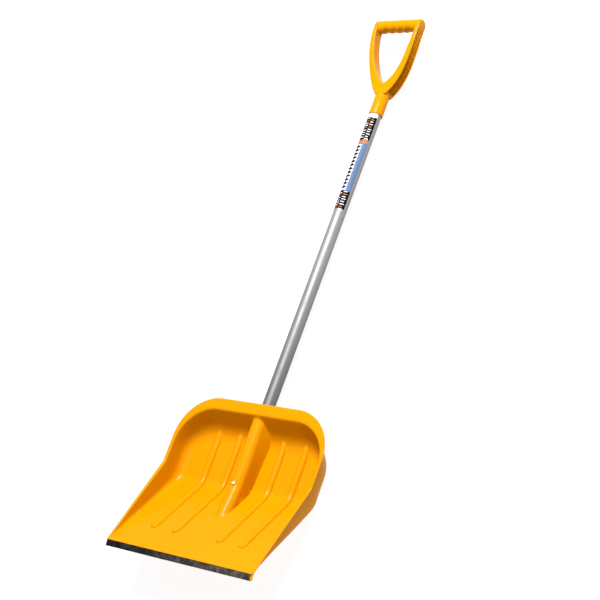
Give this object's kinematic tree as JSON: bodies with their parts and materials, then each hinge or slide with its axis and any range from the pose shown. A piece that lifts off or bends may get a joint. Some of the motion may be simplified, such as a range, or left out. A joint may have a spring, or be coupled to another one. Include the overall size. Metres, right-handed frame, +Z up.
{
  "type": "snow shovel",
  "caption": "Snow shovel with a deep moulded plastic scoop, steel wear strip, round aluminium shaft and a forward-bent D-grip.",
  "frame": {"origin": "on the resting surface, under the middle of the shovel's bounding box, with the shovel lying on its back", "axes": "+X across the scoop towards its right side seen from behind the grip, +Y along the shaft from the wear strip to the D-grip, +Z up out of the scoop's open side"},
  "size_m": [0.392, 1.3355, 0.1324],
  "materials": {
    "yellow_plastic": "moulded, satin gloss",
    "worn_steel": "galvanised, scuffed and dark",
    "zinc_steel": "zinc plated",
    "aluminium": "satin anodised",
    "label_film": "printed film"
  },
  "bodies": {
    "root": {"scoop": "yellow_plastic", "wear_strip": "worn_steel", "strip_rivet_1": "zinc_steel", "strip_rivet_2": "zinc_steel", "strip_rivet_3": "zinc_steel", "strip_rivet_4": "zinc_steel", "strip_rivet_5": "zinc_steel", "shaft": "aluminium", "grip": "yellow_plastic", "shaft_label": "label_film", "socket_screw": "zinc_steel", "grip_screw": "zinc_steel"}
  },
  "joints": []
}
